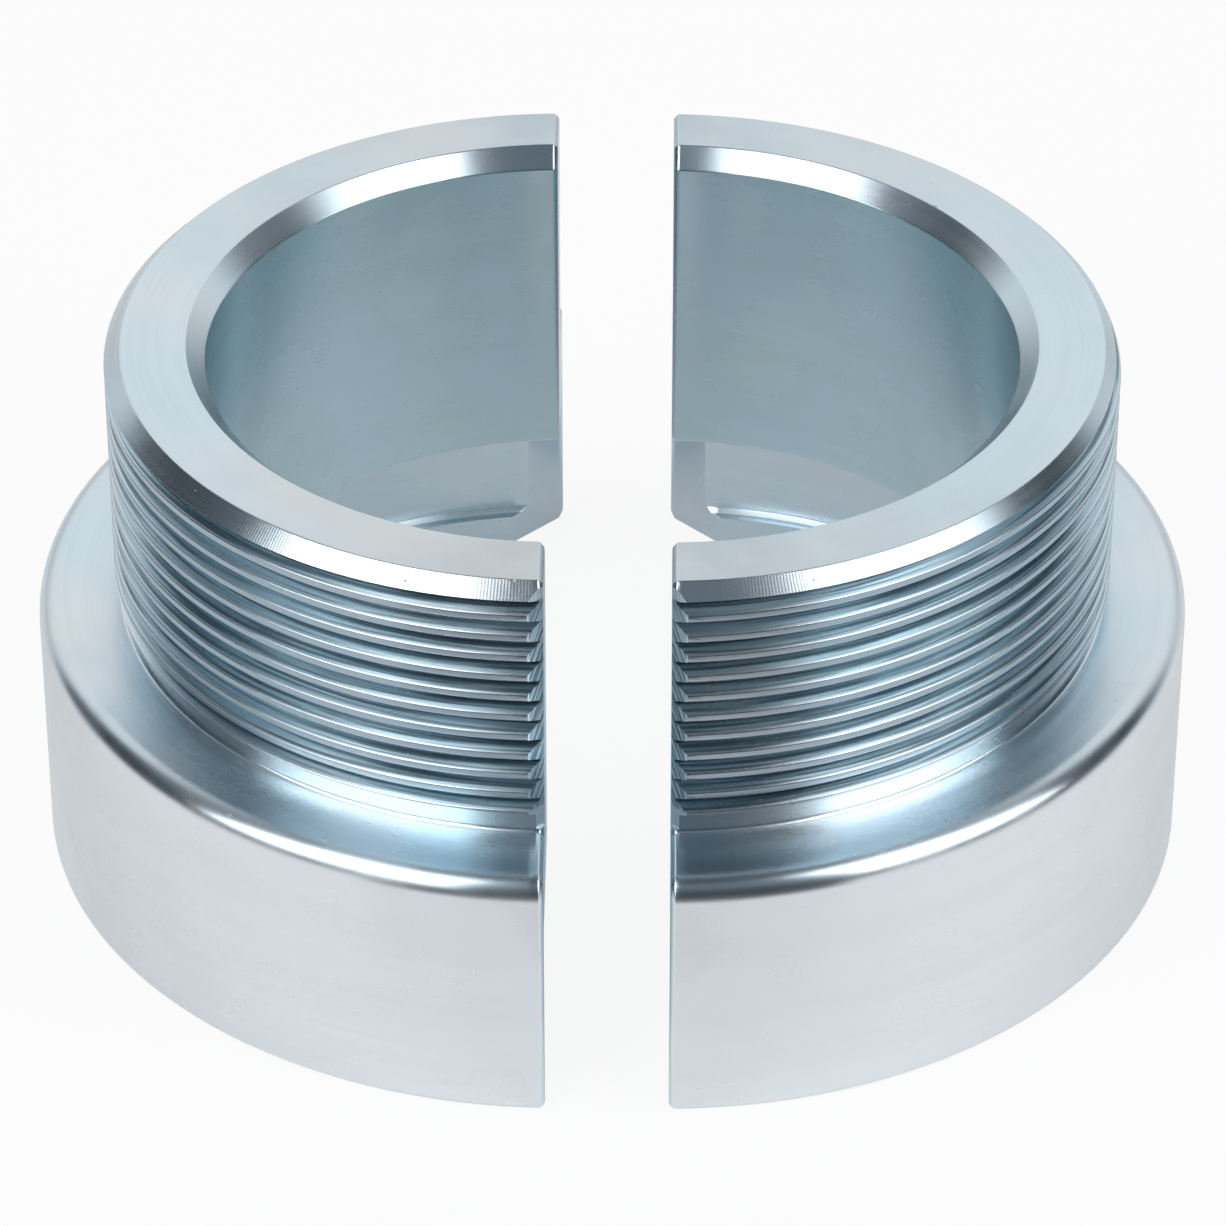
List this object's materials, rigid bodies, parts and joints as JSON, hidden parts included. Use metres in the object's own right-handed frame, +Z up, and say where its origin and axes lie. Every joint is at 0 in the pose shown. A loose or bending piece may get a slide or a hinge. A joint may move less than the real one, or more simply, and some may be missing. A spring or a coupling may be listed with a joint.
{
  "type": "bearing separator",
  "caption": "Pair of flanged steel half shells with an outside thread, closed round a wheel bearing and screwed into a press sleeve to push or pull it.",
  "frame": {"origin": "on the surface that the halves stand on, midway between the two sawn faces, on the pair's centre", "axes": "+Z up along the ring's axis, from the lipped foot to the threaded end; +X from the left half to the right half, across the saw cut; +Y away from the viewer of the picture, along the saw cut"},
  "size_m": [0.1026, 0.0934, 0.0492],
  "materials": {
    "zinc_plated_steel": "turned steel, bright zinc plated with a pale blue passivation"
  },
  "bodies": {
    "root": {"left_half_shell": "zinc_plated_steel", "right_half_shell": "zinc_plated_steel"}
  },
  "joints": []
}
